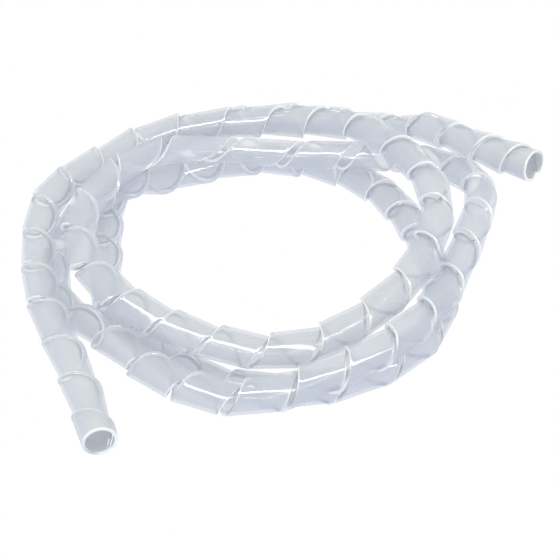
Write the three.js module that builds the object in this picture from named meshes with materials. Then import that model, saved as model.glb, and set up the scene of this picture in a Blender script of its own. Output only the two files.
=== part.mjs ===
import * as THREE from "three";

// A length of left-handed spiral cable wrap lying in a loose coil. It is one flat strip of polyethylene
// wound into a tube, with a slit that runs round and round from one end to the other. Millimetres, +Z up.

// The strip, and the tube that it makes when it is wound closed
const WALL = 1.1;
const OUTER_DIAMETER = 11.9;
const CLOSED_PITCH = 16;
// how much thinner the tube gets for each millimetre that a turn is drawn out past that
const THINNING = 0.1;
// how wide the strip is left at its two pointed ends, along the tube
const TIP_WIDTH = 1.2;
// radial play between the two edges at a slit where one lies over the other
const LAP_CLEARANCE = 0.35;
// how much of that lift the other edge has outside a bend
const OUTSIDE_SHARE = 0.5;
// the lift fades out over these two gaps where the edges are also this far apart along the tube
const GAP_THAT_FREES = [1, 3];
const LAP_THAT_FREES = [-1.6, -0.6];
// how far outside a bend the proud edge changes, in shares of the lap that a bend adds at one step, and a
// distance that keeps the change gradual where the tube is straight
const CHANGE_OVER = [-2.6, -1.1];
const STRAIGHT_CHANGE = 0.2;
// where the slit meets end A, in degrees from straight up, and steps round one turn
const START_ANGLE = 225;
const STEPS_PER_TURN = 16;

// Points that steer the middle line of the tube as it lies, from end A on the floor to end B in the air
const ROUTE = [
  [-57, -95, 6],
  [-66, -65, 7],
  [-81, -40, 19],
  [-86, -10, 22],
  [-87, 21, 25],
  [-70, 48, 20],
  [-52, 73, 19],
  [-21, 85, 18],
  [9, 75, 23],
  [31, 57, 34],
  [49, 31, 34],
  [58, 0, 36],
  [50, -28, 27],
  [28, -51, 19],
  [2, -68, 17],
  [-30, -60, 20],
  [-57, -47, 27],
  [-73, -20, 34],
  [-66, 12, 33],
  [-54, 39, 30],
  [-33, 62, 20],
  [0, 63, 15],
  [27, 55, 20],
  [62, 57, 17],
  [79, 28, 23],
  [67, -3, 21],
  [59, -31, 19],
  [42, -58, 19],
  [18, -77, 19],
  [-12, -88, 14],
  [-41, -71, 13],
  [-58, -46, 12],
  [-80, -24, 4],
  [-85, 7, 8],
  [-64, 30, 25],
  [-48, 54, 8],
  [-22, 73, 7],
  [9, 76, 6],
  [37, 58, 6],
  [50, 30, 6],
  [57, 1, 6],
  [58, -32, 6],
  [39, -57, 6],
  [12, -71, 6],
  [-22, -70, 6],
  [-43, -48, 6],
  [-63, -22, 6],
  [-64, 8, 6],
  [-67, 39, 6],
  [-63, 69, 6],
  [-42, 95, 6],
  [-15, 108, 6],
  [17, 107, 7],
  [44, 90, 10],
  [57, 66, 28],
  [69, 39, 35],
  [92, 18, 38],
];

// Advance of the slit in one turn at distances along the tube from end A: wound closed in places, drawn
// out in others
const PITCH = [
  [0, 24],
  [16, 17.5],
  [60, 16],
  [110, 19.5],
  [170, 21],
  [240, 20],
  [290, 24],
  [340, 18],
  [400, 19],
  [440, 17.5],
  [490, 16],
  [530, 20],
  [570, 31],
  [610, 31],
  [650, 25],
  [690, 20],
  [740, 17.5],
  [800, 22],
  [860, 17.5],
  [910, 18],
  [960, 22.5],
  [1000, 19],
  [1050, 18],
  [1080, 21],
  [1130, 18],
  [1200, 16],
  [1260, 21],
  [1320, 20],
  [1560, 19.5],
  [1610, 22.5],
  [1640, 29],
  [1665, 25],
  [1690, 18.5],
  [1715, 16],
];

// How far the slit stands open at distances along the tube, where it is straight
const GAP = [
  [0, 0.3],
  [545, 0.4],
  [580, 4.5],
  [665, 4.5],
  [700, 3.4],
  [740, 3.2],
  [790, 0.3],
  [960, 0.3],
  [990, 3],
  [1020, 3],
  [1040, 0.3],
];

// A cubic B-spline, so that the bend changes smoothly along the tube. It starts and ends at the end points.
class RestingLine extends THREE.Curve {
  constructor(points) {
    super();
    const p = points.map((c) => new THREE.Vector3(...c));
    const last = p.length - 1;
    const before = p[0].clone().multiplyScalar(2).sub(p[1]);
    const after = p[last].clone().multiplyScalar(2).sub(p[last - 1]);
    this.guides = [before, ...p, after];
  }

  getPoint(t, target = new THREE.Vector3()) {
    const spans = this.guides.length - 3;
    const span = Math.min(Math.floor(t * spans), spans - 1);
    const u = t * spans - span;
    const weights = [(1 - u) ** 3, 3 * u ** 3 - 6 * u ** 2 + 4, -3 * u ** 3 + 3 * u ** 2 + 3 * u + 1, u ** 3];
    target.set(0, 0, 0);
    weights.forEach((w, k) => target.addScaledVector(this.guides[span + k], w / 6));
    return target;
  }
}

const curve = new RestingLine(ROUTE);
curve.arcLengthDivisions = 6000;
const LENGTH = curve.getLength();

// Straight lines between the pairs of a table
function valueAt(table, s) {
  const next = table.findIndex(([place]) => s < place);
  if (next === 0) return table[0][1];
  if (next < 0) return table[table.length - 1][1];
  const [s0, v0] = table[next - 1];
  const [s1, v1] = table[next];
  return v0 + ((v1 - v0) * (s - s0)) / (s1 - s0);
}

function radiusAt(s) {
  const drawnOut = valueAt(PITCH, s) - CLOSED_PITCH;
  return (OUTER_DIAMETER - THINNING * drawnOut - WALL) / 2;
}

// Middle line and axes at a distance along the tube; past the ends it runs on straight
function frameAt(s) {
  const inside = Math.min(Math.max(s, 0), LENGTH);
  const tangent = curve.getTangentAt(inside / LENGTH).normalize();
  const centre = curve.getPointAt(inside / LENGTH).addScaledVector(tangent, s - inside);
  const right = new THREE.Vector3().crossVectors(tangent, new THREE.Vector3(0, 0, 1)).normalize();
  const up = new THREE.Vector3().crossVectors(right, tangent);
  return { centre, tangent, right, up };
}

// Distance along the tube of the slit at each step round it, from the strip's tip at end A until one turn
// after the slit has reached end B
const slits = [TIP_WIDTH];
while (!(slits[slits.length - 1 - STEPS_PER_TURN] > LENGTH - TIP_WIDTH)) {
  const s = slits[slits.length - 1];
  const halfStep = valueAt(PITCH, s) / STEPS_PER_TURN / 2;
  slits.push(s + valueAt(PITCH, s + halfStep) / STEPS_PER_TURN);
}
const steps = slits.length - 2;

// The strip at one step: the slits on its two sides, the tube's axes half way between them, and which way is
// out of the tube
function turnAt(step) {
  const slitB = slits[step];
  const slitA = step < STEPS_PER_TURN ? slitB - PITCH[0][1] : slits[step - STEPS_PER_TURN];
  const middle = (slitA + slitB) / 2;
  const { centre, tangent, right, up } = frameAt(middle);
  const angle = THREE.MathUtils.degToRad(START_ANGLE + (360 * step) / STEPS_PER_TURN);
  const radial = up.clone().multiplyScalar(Math.cos(angle)).addScaledVector(right, -Math.sin(angle));
  const pointAt = (along, out) =>
    centre.clone().addScaledVector(tangent, along).addScaledVector(radial, radiusAt(middle) + out);
  return { slitA, slitB, middle, tangent, radial, pointAt };
}

// How far the two edges at a slit stand off the tube, one out and one in. Inside a bend the turns lap, and the
// edge towards end B lies on top. Outside it they part, and the edge towards end A stands proud.
function liftAt(step) {
  if (step + STEPS_PER_TURN > steps) return 0;
  const slit = slits[step];
  const gap = valueAt(GAP, slit);
  const before = turnAt(step);
  const after = turnAt(step + STEPS_PER_TURN);
  const edgeB = before.pointAt(slit - gap / 2 - before.middle, 0);
  const edgeA = after.pointAt(slit + gap / 2 - after.middle, 0);
  const between = edgeB.clone().sub(edgeA);
  const lap = between.dot(before.tangent.clone().add(after.tangent)) / 2;
  const sunk = Math.max(0, -between.dot(after.radial), -between.dot(before.radial));
  const pitch = (after.slitB - before.slitA) / 2;
  const onTop = (WALL + LAP_CLEARANCE + sunk) / 2 / (1 - Math.max(0, lap) / pitch);
  const turning = after.tangent.clone().sub(before.tangent).length();
  const lapPerStep = ((2 * Math.PI) / STEPS_PER_TURN) * turning * radiusAt(slit);
  const [changeFrom, changeTo] = CHANGE_OVER.map((share) => share * lapPerStep);
  const inside = THREE.MathUtils.smoothstep(lap + gap, changeFrom - STRAIGHT_CHANGE, changeTo);
  const side = inside - OUTSIDE_SHARE * (1 - inside);
  const apart = 1 - THREE.MathUtils.smoothstep(lap, ...LAP_THAT_FREES);
  const shut = 1 - THREE.MathUtils.smoothstep(gap, ...GAP_THAT_FREES) * apart;
  const lift = side > 0 ? onTop : (WALL + LAP_CLEARANCE) / 2;
  return lift * side * shut;
}

// The strip's section at a step has two edges, towards ends A and B, each with an outer and an inner corner
const lifts = slits.map((_, step) => liftAt(step));
const corners = [];
for (let step = 0; step <= steps; step++) {
  const { slitA, slitB, middle, pointAt } = turnAt(step);
  const half = (slitB - slitA) / 2;
  const first = step < STEPS_PER_TURN;
  const edgeA = Math.max(slitA + valueAt(GAP, slitA) / 2, 0) - middle;
  const edgeB = Math.min(slitB - valueAt(GAP, slitB) / 2, LENGTH) - middle;
  const liftA = (lifts[edgeA > 0 || first ? step : step - STEPS_PER_TURN] * edgeA) / half;
  const liftB = (lifts[edgeB > 0 ? step : step - STEPS_PER_TURN] * edgeB) / half;
  corners.push(
    pointAt(edgeA, liftA + WALL / 2),
    pointAt(edgeB, liftB + WALL / 2),
    pointAt(edgeB, liftB - WALL / 2),
    pointAt(edgeA, liftA - WALL / 2),
  );
}

// Outer face, edge towards B, inner face and edge towards A between each pair of sections, then the two tips.
// Both wide faces are split along the same diagonal, so the wall keeps its thickness.
const triangles = [];
const addQuad = (a, b, c, d) => triangles.push(a, b, c, a, c, d);
for (let step = 0; step < steps; step++) {
  const k = 4 * step;
  addQuad(k, k + 1, k + 5, k + 4);
  addQuad(k + 1, k + 2, k + 6, k + 5);
  addQuad(k + 3, k + 7, k + 6, k + 2);
  addQuad(k + 3, k, k + 4, k + 7);
}
addQuad(0, 3, 2, 1);
addQuad(4 * steps, 4 * steps + 1, 4 * steps + 2, 4 * steps + 3);
const body = new THREE.BufferGeometry().setFromPoints(corners);
body.setIndex(triangles);

// Origin under the middle of the coil, at floor level
body.computeBoundingBox();
const box = body.boundingBox;
body.translate(-(box.min.x + box.max.x) / 2, -(box.min.y + box.max.y) / 2, -box.min.z);

const wrap = new THREE.Mesh(
  body,
  new THREE.MeshStandardMaterial({ name: "natural_polyethylene", color: 0xd5dae0, roughness: 0.35, metalness: 0 }),
);
wrap.name = "spiral_wrap";

const group = new THREE.Group();
group.name = "spiral_cable_wrap";
group.add(wrap);
export default group;
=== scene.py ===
import math

import bmesh
import bpy
import numpy as np
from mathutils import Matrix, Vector


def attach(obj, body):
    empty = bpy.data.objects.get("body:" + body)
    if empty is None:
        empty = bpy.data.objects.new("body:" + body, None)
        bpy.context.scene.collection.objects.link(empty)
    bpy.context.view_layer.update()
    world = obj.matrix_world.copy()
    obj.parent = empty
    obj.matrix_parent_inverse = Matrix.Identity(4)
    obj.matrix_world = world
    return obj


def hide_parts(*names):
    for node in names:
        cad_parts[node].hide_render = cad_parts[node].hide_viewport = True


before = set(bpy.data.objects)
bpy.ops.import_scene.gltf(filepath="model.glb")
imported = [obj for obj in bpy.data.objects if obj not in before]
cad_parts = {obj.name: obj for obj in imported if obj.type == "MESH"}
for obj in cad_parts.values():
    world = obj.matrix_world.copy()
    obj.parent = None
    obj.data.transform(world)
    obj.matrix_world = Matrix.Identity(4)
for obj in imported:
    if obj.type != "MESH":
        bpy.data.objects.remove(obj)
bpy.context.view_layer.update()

# Sizes of the strip, and of the tube that it makes when it is wound closed, metres
WALL = 0.0011
OUTER_DIAMETER = 0.0119
CLOSED_PITCH = 0.016
THINNING = 0.1
TIP_WIDTH = 0.0012
LAP_CLEARANCE = 0.00035
OUTSIDE_SHARE = 0.5
GAP_THAT_FREES = (0.001, 0.003)
LAP_THAT_FREES = (-0.0016, -0.0006)
CHANGE_OVER = (-2.6, -1.1)
STRAIGHT_CHANGE = 0.0002
START_ANGLE = 225
STEPS_PER_TURN = 48
# distances from end A and the share of the lift at each. The first turns lie closer together, but under
# about 0.76 of the lift their walls would pass into each other.
CLOSE_NEAR_END = ((0.006, 0.012, 0.075, 0.1), (1.0, 0.8, 0.8, 1.0))
# the share of a turn over which the proud edge may change
CHANGE_STEP = 1 / 16
# how far each turn follows the bend of the tube; at 0 every turn is straight
BOW_SHARE = 0.4
# rounding of the strip's edges and the band along them that looks different from the wall. Where the strip
# is narrow, they are at most its width over these numbers.
EDGE_ROUND = 0.00022
EDGE_BAND = 0.0016
ROUND_OVER = 5
BAND_OVER = 3
# how far the tint of a cut end reaches, and the angle in degrees from which an edge is shaded sharp
CUT_TINT_LENGTH = 0.02
SHARP_ANGLE = 50
# PITCH and GAP are tables in millimetres; everything else is in metres
MM = 1000

# Where the route's own origin lies in the part's frame
PLACE = (-0.00186, -0.00835, 0.00065)

# Points that steer the middle line of the tube, from end A on the floor to end B in the air
ROUTE = [
    (-0.057, -0.095, 0.006),
    (-0.066, -0.065, 0.007),
    (-0.081, -0.040, 0.019),
    (-0.086, -0.010, 0.022),
    (-0.087, 0.021, 0.025),
    (-0.070, 0.048, 0.020),
    (-0.052, 0.073, 0.019),
    (-0.021, 0.085, 0.018),
    (0.009, 0.075, 0.023),
    (0.031, 0.057, 0.034),
    (0.049, 0.031, 0.034),
    (0.058, 0.000, 0.036),
    (0.050, -0.028, 0.027),
    (0.028, -0.051, 0.019),
    (0.002, -0.068, 0.017),
    (-0.030, -0.060, 0.020),
    (-0.057, -0.047, 0.027),
    (-0.073, -0.020, 0.034),
    (-0.066, 0.012, 0.033),
    (-0.054, 0.039, 0.030),
    (-0.033, 0.062, 0.020),
    (0.000, 0.063, 0.015),
    (0.027, 0.055, 0.020),
    (0.062, 0.057, 0.017),
    (0.079, 0.028, 0.023),
    (0.067, -0.003, 0.021),
    (0.059, -0.031, 0.019),
    (0.042, -0.058, 0.019),
    (0.018, -0.077, 0.019),
    (-0.012, -0.088, 0.014),
    (-0.041, -0.071, 0.013),
    (-0.058, -0.046, 0.012),
    (-0.080, -0.024, 0.004),
    (-0.085, 0.007, 0.008),
    (-0.064, 0.030, 0.025),
    (-0.048, 0.054, 0.008),
    (-0.022, 0.073, 0.007),
    (0.009, 0.076, 0.006),
    (0.037, 0.058, 0.006),
    (0.050, 0.030, 0.006),
    (0.057, 0.001, 0.006),
    (0.058, -0.032, 0.006),
    (0.039, -0.057, 0.006),
    (0.012, -0.071, 0.006),
    (-0.022, -0.070, 0.006),
    (-0.043, -0.048, 0.006),
    (-0.063, -0.022, 0.006),
    (-0.064, 0.008, 0.006),
    (-0.067, 0.039, 0.006),
    (-0.063, 0.069, 0.006),
    (-0.042, 0.095, 0.006),
    (-0.015, 0.108, 0.006),
    (0.017, 0.107, 0.007),
    (0.044, 0.090, 0.010),
    (0.057, 0.066, 0.028),
    (0.069, 0.039, 0.035),
    (0.092, 0.018, 0.038),
]

# Advance of the slit in one turn, by distance from end A, millimetres
PITCH = [
    (0, 24),
    (16, 17.5),
    (60, 16),
    (110, 19.5),
    (170, 21),
    (240, 20),
    (290, 24),
    (340, 18),
    (400, 19),
    (440, 17.5),
    (490, 16),
    (530, 20),
    (570, 31),
    (610, 31),
    (650, 25),
    (690, 20),
    (740, 17.5),
    (800, 22),
    (860, 17.5),
    (910, 18),
    (960, 22.5),
    (1000, 19),
    (1050, 18),
    (1080, 21),
    (1130, 18),
    (1200, 16),
    (1260, 21),
    (1320, 20),
    (1560, 19.5),
    (1610, 22.5),
    (1640, 29),
    (1665, 25),
    (1690, 17),
    (1700, 13),
    (1716, 13),
]

# How far the slit stands open where the tube is straight, by distance from end A, millimetres
GAP = [
    (0, 0.3),
    (545, 0.4),
    (580, 4.5),
    (665, 4.5),
    (700, 3.4),
    (740, 3.2),
    (790, 0.3),
    (960, 0.3),
    (990, 3),
    (1020, 3),
    (1040, 0.3),
]


def spline(points, per_span=160):
    """Cubic B-spline from the first point to the last, sampled finely, with its distance from the first."""
    p = np.array(points)
    q = np.vstack([2 * p[0] - p[1], p, 2 * p[-1] - p[-2]])
    t = np.linspace(0, 1, per_span, endpoint=False)[:, None]
    spans = []
    for i in range(len(p) - 1):
        a, b, c, d = q[i : i + 4]
        weight_b = 3 * t**3 - 6 * t**2 + 4
        weight_c = -3 * t**3 + 3 * t**2 + 3 * t + 1
        spans.append(((1 - t) ** 3 * a + weight_b * b + weight_c * c + t**3 * d) / 6)
    line = np.vstack(spans + [p[-1:]])
    distance = np.r_[0, np.cumsum(np.linalg.norm(np.diff(line, axis=0), axis=1))]
    return line, distance


LINE, DISTANCE = spline(np.array(ROUTE) + np.array(PLACE))
LENGTH = float(DISTANCE[-1])
LINE_TANGENT = np.gradient(LINE, DISTANCE, axis=0)
LINE_TANGENT /= np.linalg.norm(LINE_TANGENT, axis=1)[:, None]


def along_line(values, s):
    return np.array([np.interp(s, DISTANCE, values[:, k]) for k in range(3)])


def table_at(table, s):
    places, values = zip(*table)
    return np.interp(s * MM, places, values) / MM


def pitch_at(s):
    return table_at(PITCH, s)


def gap_at(s):
    return table_at(GAP, s)


def radius_at(s):
    return (OUTER_DIAMETER - THINNING * (pitch_at(s) - CLOSED_PITCH) - WALL) / 2


def frame_at(s):
    inside = min(max(s, 0), LENGTH)
    tangent = along_line(LINE_TANGENT, inside)
    tangent /= np.linalg.norm(tangent)
    centre = along_line(LINE, inside) + tangent * (s - inside)
    right = np.cross(tangent, (0, 0, 1))
    right /= np.linalg.norm(right)
    return centre, tangent, right, np.cross(right, tangent)


def smoothstep(x, low, high):
    t = min(max((x - low) / (high - low), 0), 1)
    return t * t * (3 - 2 * t)


def slit_line():
    """Distance along the tube of the slit at each step, from the tip at end A to one turn after end B."""
    slits = [TIP_WIDTH]
    while len(slits) <= STEPS_PER_TURN or slits[-1 - STEPS_PER_TURN] <= LENGTH - TIP_WIDTH:
        s = slits[-1]
        slits.append(s + pitch_at(s + pitch_at(s) / STEPS_PER_TURN / 2) / STEPS_PER_TURN)
    return slits


SLITS = slit_line()
STEPS = len(SLITS) - 2


class Turn:
    """The strip at one step: the slits on its two sides and the tube's axes half way between them."""

    def __init__(self, step):
        self.slit_b = SLITS[step]
        self.slit_a = SLITS[step - STEPS_PER_TURN] if step >= STEPS_PER_TURN else self.slit_b - pitch_at(0)
        self.middle = (self.slit_a + self.slit_b) / 2
        self.centre, self.tangent, right, up = frame_at(self.middle)
        angle = math.radians(START_ANGLE + 360 * step / STEPS_PER_TURN)
        self.radial = up * math.cos(angle) - right * math.sin(angle)

    def bow(self, along):
        """How far a turn gives way towards the bent middle line at this distance from the turn's middle."""
        inside = min(max(self.middle + along, 0), LENGTH)
        beyond = self.middle + along - inside
        bent = along_line(LINE, inside) + self.tangent * beyond
        return (bent - self.centre - self.tangent * along) * BOW_SHARE

    def point(self, along, out):
        return self.centre + self.tangent * along + self.radial * (radius_at(self.middle) + out)


def lift_at(step):
    """How far the two edges at a slit stand off the tube, one out and one in."""
    if step + STEPS_PER_TURN > STEPS:
        return 0.0
    slit = SLITS[step]
    gap = gap_at(slit)
    before = Turn(step)
    after = Turn(step + STEPS_PER_TURN)
    edge_b = before.point(slit - gap / 2 - before.middle, 0)
    edge_a = after.point(slit + gap / 2 - after.middle, 0)
    between = edge_b - edge_a
    lap = between @ (before.tangent + after.tangent) / 2
    sunk = max(0, -between @ after.radial, -between @ before.radial)
    pitch = (after.slit_b - before.slit_a) / 2
    on_top = (WALL + LAP_CLEARANCE + sunk) / 2 / (1 - max(0, lap) / pitch)
    turning = np.linalg.norm(after.tangent - before.tangent)
    lap_per_step = 2 * math.pi * CHANGE_STEP * turning * radius_at(slit)
    change_from = CHANGE_OVER[0] * lap_per_step - STRAIGHT_CHANGE
    change_to = CHANGE_OVER[1] * lap_per_step
    inside = smoothstep(lap + gap, change_from, change_to)
    side = inside - OUTSIDE_SHARE * (1 - inside)
    shut = 1 - smoothstep(gap, *GAP_THAT_FREES) * (1 - smoothstep(lap, *LAP_THAT_FREES))
    return (on_top if side > 0 else (WALL + LAP_CLEARANCE) / 2) * side * shut


def section(low, high):
    """Outline of the strip's section: place along the tube and height over its middle, corners rounded."""
    h = WALL / 2
    r = min(EDGE_ROUND, (high - low) / ROUND_OVER)
    band = min(EDGE_BAND, (high - low) / BAND_OVER)
    c = r * (1 - math.sqrt(0.5))
    top = [
        (high - band, h),
        (high - r, h),
        (high - c, h - c),
        (high, h - r),
        (high, -h + r),
        (high - c, -h + c),
        (high - r, -h),
        (high - band, -h),
    ]
    back = [
        (low + band, -h),
        (low + r, -h),
        (low + c, -h + c),
        (low, -h + r),
        (low, h - r),
        (low + c, h - c),
        (low + r, h),
        (low + band, h),
    ]
    return top + back


def make_strip(name):
    """The strip from end A to end B, one closed mesh. Its attributes carry what the material needs: rim (1 at
    the strip's edges), proud (1 where it stands out, 0 where it is sunk), cut (1 at the tube's two ends) and
    grain (place along the strip, across it and through it)."""
    lifts = [lift_at(step) for step in range(len(SLITS))]
    mesh = bmesh.new()
    rim = mesh.verts.layers.float.new("rim")
    grain = mesh.verts.layers.float_vector.new("grain")
    cut = mesh.verts.layers.float.new("cut")
    proud = mesh.verts.layers.float.new("proud")
    rings = []
    run = 0.0
    last_point = None
    for step in range(STEPS + 1):
        turn = Turn(step)
        half = (turn.slit_b - turn.slit_a) / 2
        low = max(turn.slit_a + gap_at(turn.slit_a) / 2, 0) - turn.middle
        high = min(turn.slit_b - gap_at(turn.slit_b) / 2, LENGTH) - turn.middle
        first = step < STEPS_PER_TURN
        middle_point = turn.point((low + high) / 2, 0)
        run += 0 if last_point is None else np.linalg.norm(middle_point - last_point)
        last_point = middle_point
        ring = []
        for x, y in section(low, high):
            at = step if x > 0 or first else step - STEPS_PER_TURN
            lift = lifts[at] * np.interp(SLITS[at], *CLOSE_NEAR_END) * x / half
            v = mesh.verts.new(turn.point(x, y + lift) + turn.bow(x))
            edge = min(x - low, high - x)
            v[rim] = max(0.0, 1.0 - edge / EDGE_BAND)
            v[proud] = min(max(0.5 + lift / WALL, 0.0), 1.0)
            v[grain] = (run, x, y)
            v[cut] = max(0.0, 1 - min(turn.middle + x, LENGTH - turn.middle - x) / CUT_TINT_LENGTH)
            ring.append(v)
        rings.append(ring)
    n = len(rings[0])
    for a, b in zip(rings, rings[1:]):
        for k in range(n):
            mesh.faces.new((a[k], a[(k + 1) % n], b[(k + 1) % n], b[k]))
    mesh.faces.new(rings[0][::-1])
    mesh.faces.new(rings[-1])
    bmesh.ops.recalc_face_normals(mesh, faces=mesh.faces)
    data = bpy.data.meshes.new(name)
    mesh.to_mesh(data)
    mesh.free()
    data.polygons.foreach_set("use_smooth", [True] * len(data.polygons))
    data.set_sharp_from_angle(angle=math.radians(SHARP_ANGLE))
    piece = bpy.data.objects.new(name, data)
    bpy.context.scene.collection.objects.link(piece)
    return piece


# Colours of the wall, of the painted highlight on proud edges and the painted shadow next to sunk edges, and
# of the cut ends
BODY_PALE = (0.81, 0.83, 0.88, 1)
BODY_DEEP = (0.72, 0.745, 0.81, 1)
EDGE_PAINTED_HIGHLIGHT = (0.99, 0.99, 0.98, 1)
EDGE_PAINTED_SHADOW = (0.20, 0.21, 0.24, 1)
END_CREAM = (0.80, 0.815, 0.74, 1)
# painted glow: emission on the proud edges that stands in for the light the wall pipes to its edges
EDGE_PAINTED_GLOW = 0.05

# The settings of the noise and bump nodes: milky clouds, the faint lines of extrusion, and shallow dents
CLOUD = {"Scale": 70.0, "Detail": 3.0, "Roughness": 0.55}
STREAKS = {"Scale": 1.0, "Detail": 2.0, "Roughness": 0.5}
STREAK_STRETCH = {"Scale": (14.0, 1500.0, 300.0)}
STREAK_RELIEF = {"Strength": 0.25, "Distance": 0.00006}
WAVES = {"Scale": 160.0, "Detail": 1.0}
DENTS = {"Strength": 0.3, "Distance": 0.0004}
PLASTIC = {"IOR": 1.5, "Specular IOR Level": 1.0}

# Pairs of a place on an attribute or a noise and the value there
CLOUD_TO_PALE = [(0.2, 0.0), (0.8, 1.0)]
STREAK_TO_PALE = [(0.3, 0.0), (0.75, 0.35)]
CLOUD_TO_ROUGHNESS = [(0.3, 0.09), (0.7, 0.15)]
CUT_TO_CREAM = [(0.0, 0.0), (1.0, 0.25)]
RIM_TO_PAINTED_SHADOW = [(0.66, 0.0), (0.8, 0.4)]
SUNK_TO_PAINTED_SHADOW = [(0.15, 1.0), (0.45, 0.0)]
RIM_TO_PAINTED_HIGHLIGHT = [(0.76, 0.0), (0.82, 1.0)]
PROUD_TO_PAINTED_HIGHLIGHT = [(0.25, 0.1), (0.5, 1.0)]
RIM_TO_OPACITY = [(0.4, 0.38), (0.66, 0.5), (0.76, 0.6), (0.82, 0.95)]
CUT_TO_END_OPACITY = [(0.0, 0.0), (0.9, 0.7)]
END_OPACITY = (0.97, 0.97, 0.97, 1)

# The sockets of a Mix node that mixes colours: factor, the two colours, and the result
MIX_FACTOR, MIX_ONE, MIX_TWO, MIX_RESULT = 0, 6, 7, 2


def polyethylene():
    mat = bpy.data.materials.new("natural_polyethylene")
    mat.use_nodes = True
    nodes = mat.node_tree.nodes
    links = mat.node_tree.links
    nodes.clear()

    def node(kind, **values):
        n = nodes.new(kind)
        for key, value in values.items():
            n.inputs[key].default_value = value
        return n

    def attribute(name):
        n = nodes.new("ShaderNodeAttribute")
        n.attribute_name = name
        return n

    def ramp(source, stops):
        n = nodes.new("ShaderNodeValToRGB")
        while len(n.color_ramp.elements) < len(stops):
            n.color_ramp.elements.new(0.5)
        for element, (place, value) in zip(n.color_ramp.elements, stops):
            element.position = place
            element.color = value if isinstance(value, tuple) else (value, value, value, 1)
        links.new(source, n.inputs["Fac"])
        return n.outputs["Color"]

    def mix(fac, one, two):
        n = nodes.new("ShaderNodeMix")
        n.data_type = "RGBA"
        links.new(fac, n.inputs[MIX_FACTOR])
        for socket, value in ((n.inputs[MIX_ONE], one), (n.inputs[MIX_TWO], two)):
            if isinstance(value, tuple):
                socket.default_value = value
            else:
                links.new(value, socket)
        return n.outputs[MIX_RESULT]

    def both(one, two):
        n = nodes.new("ShaderNodeMath")
        n.operation = "MULTIPLY"
        for k, source in enumerate((one, two)):
            if isinstance(source, float):
                n.inputs[k].default_value = source
            else:
                links.new(source, n.inputs[k])
        return n.outputs[0]

    rim = attribute("rim").outputs["Fac"]
    cut = attribute("cut").outputs["Fac"]
    proud_edge = attribute("proud").outputs["Fac"]
    grain = attribute("grain").outputs["Vector"]
    coords = nodes.new("ShaderNodeTexCoord").outputs["Object"]

    # milky clouds in the wall, and the faint lines that extrusion leaves along the strip
    cloud = node("ShaderNodeTexNoise", **CLOUD)
    links.new(coords, cloud.inputs["Vector"])
    stretch = node("ShaderNodeMapping", **STREAK_STRETCH)
    links.new(grain, stretch.inputs["Vector"])
    streaks = node("ShaderNodeTexNoise", **STREAKS)
    links.new(stretch.outputs["Vector"], streaks.inputs["Vector"])
    body = mix(ramp(cloud.outputs["Fac"], CLOUD_TO_PALE), BODY_DEEP, BODY_PALE)
    lined = mix(ramp(streaks.outputs["Fac"], STREAK_TO_PALE), body, BODY_PALE)

    # painted light and shade at the slits: proud edges get a painted highlight, white and nearly opaque, and
    # sunk ones a painted shadow, a deep grey line
    warm = mix(ramp(cut, CUT_TO_CREAM), lined, END_CREAM)
    # painted shadow: a deep grey line on the sunk edge, where the slit shows as a shadowed gap
    painted_slit_shadow = both(ramp(rim, RIM_TO_PAINTED_SHADOW), ramp(proud_edge, SUNK_TO_PAINTED_SHADOW))
    with_painted_shadow = mix(painted_slit_shadow, warm, EDGE_PAINTED_SHADOW)
    # painted highlight: white on the proud edges, which also sets the painted glow
    painted_edge_light = both(ramp(rim, RIM_TO_PAINTED_HIGHLIGHT), ramp(proud_edge, PROUD_TO_PAINTED_HIGHLIGHT))
    color = mix(painted_edge_light, with_painted_shadow, EDGE_PAINTED_HIGHLIGHT)
    wall = ramp(rim, RIM_TO_OPACITY)
    opacity = mix(ramp(cut, CUT_TO_END_OPACITY), wall, END_OPACITY)
    gloss = ramp(cloud.outputs["Fac"], CLOUD_TO_ROUGHNESS)

    relief = node("ShaderNodeBump", **STREAK_RELIEF)
    links.new(streaks.outputs["Fac"], relief.inputs["Height"])
    waves = node("ShaderNodeTexNoise", **WAVES)
    links.new(coords, waves.inputs["Vector"])
    dents = node("ShaderNodeBump", **DENTS)
    links.new(waves.outputs["Fac"], dents.inputs["Height"])
    links.new(relief.outputs["Normal"], dents.inputs["Normal"])

    out = nodes.new("ShaderNodeOutputMaterial")
    shader = node("ShaderNodeBsdfPrincipled", **PLASTIC)
    links.new(color, shader.inputs["Base Color"])
    links.new(color, shader.inputs["Emission Color"])
    # painted glow: the proud edges emit light, though they are no lamp
    links.new(both(painted_edge_light, EDGE_PAINTED_GLOW), shader.inputs["Emission Strength"])
    links.new(opacity, shader.inputs["Alpha"])
    links.new(gloss, shader.inputs["Roughness"])
    links.new(dents.outputs["Normal"], shader.inputs["Normal"])
    links.new(shader.outputs["BSDF"], out.inputs["Surface"])
    return mat


# Camera: its focal length is in pixels of a picture PICTURE_PX wide, and it looks at the route's origin
FOCAL_PX = 1540
PICTURE_PX = 560
SENSOR_MM = 36
ELEVATION = math.radians(36)
DISTANCE_TO_COIL = 0.565
camera_data = bpy.data.cameras.new("camera")
camera_data.sensor_width = SENSOR_MM
camera_data.lens = FOCAL_PX / PICTURE_PX * SENSOR_MM
camera = bpy.data.objects.new("camera", camera_data)
bpy.context.scene.collection.objects.link(camera)
backwards = Vector((0, -math.cos(ELEVATION), math.sin(ELEVATION)))
camera.location = Vector(PLACE) + backwards * DISTANCE_TO_COIL
camera.rotation_euler = (math.radians(90) - ELEVATION, 0, 0)
bpy.context.scene.camera = camera

# The wrap
wrap = make_strip("wrap_strip")
wrap.data.materials.append(polyethylene())
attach(wrap, "root")
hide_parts("spiral_wrap")

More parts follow.
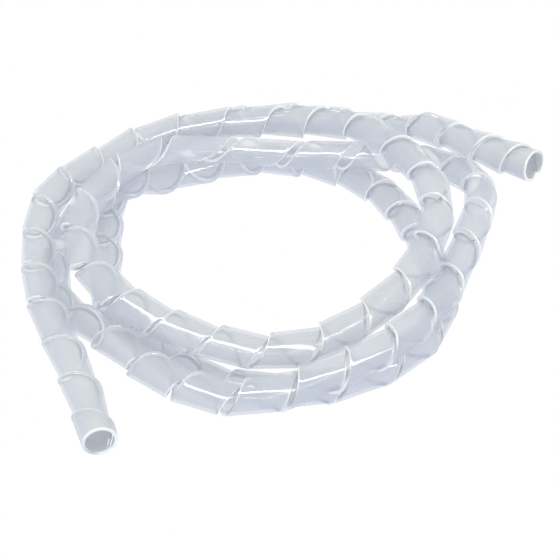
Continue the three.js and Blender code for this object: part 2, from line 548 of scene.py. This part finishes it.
# One long lamp over the coil. It shows in reflections only, as the long highlights.
LAMP_PLACE = (0.1, -0.74, 0.95)
LAMP_SIZE = (2.6, 0.2)
LAMP_WATTS = 42
lamp_data = bpy.data.lights.new("strip_light", "AREA")
lamp_data.shape = "RECTANGLE"
lamp_data.size, lamp_data.size_y = LAMP_SIZE
lamp_data.energy = LAMP_WATTS
lamp = bpy.data.objects.new("strip_light", lamp_data)
lamp.location = LAMP_PLACE
lamp.rotation_euler = (-Vector(LAMP_PLACE)).to_track_quat("-Z", "Y").to_euler()
lamp.visible_diffuse = False
bpy.context.scene.collection.objects.link(lamp)

# The room that lights the wrap is white, a little greener above and bluer below. The camera sees plain white.
ROOM_BELOW = (0.80, 0.84, 0.95, 1)
ROOM_ABOVE = (1.0, 1.02, 0.96, 1)
ROOM_ABOVE_FROM = 0.8
BACKDROP = (1, 1, 1, 1)
world = bpy.data.worlds.new("world")
bpy.context.scene.world = world
world.use_nodes = True
room = world.node_tree
background = room.nodes["Background"]
direction = room.nodes.new("ShaderNodeTexCoord")
height = room.nodes.new("ShaderNodeSeparateXYZ")
room.links.new(direction.outputs["Generated"], height.inputs["Vector"])
shades = room.nodes.new("ShaderNodeValToRGB")
shades.color_ramp.elements[0].position = 0.0
shades.color_ramp.elements[0].color = ROOM_BELOW
shades.color_ramp.elements[1].position = ROOM_ABOVE_FROM
shades.color_ramp.elements[1].color = ROOM_ABOVE
room.links.new(height.outputs["Z"], shades.inputs["Fac"])
seen = room.nodes.new("ShaderNodeLightPath")
choice = room.nodes.new("ShaderNodeMix")
choice.data_type = "RGBA"
room.links.new(seen.outputs["Is Camera Ray"], choice.inputs[MIX_FACTOR])
room.links.new(shades.outputs["Color"], choice.inputs[MIX_ONE])
choice.inputs[MIX_TWO].default_value = BACKDROP
room.links.new(choice.outputs[MIX_RESULT], background.inputs["Color"])

# A line of sight can cross the see-through wall many times where passes lie behind each other
TRANSPARENT_BOUNCES = 32
scene = bpy.context.scene
scene.view_settings.view_transform = "Standard"
scene.cycles.transparent_max_bounces = TRANSPARENT_BOUNCES
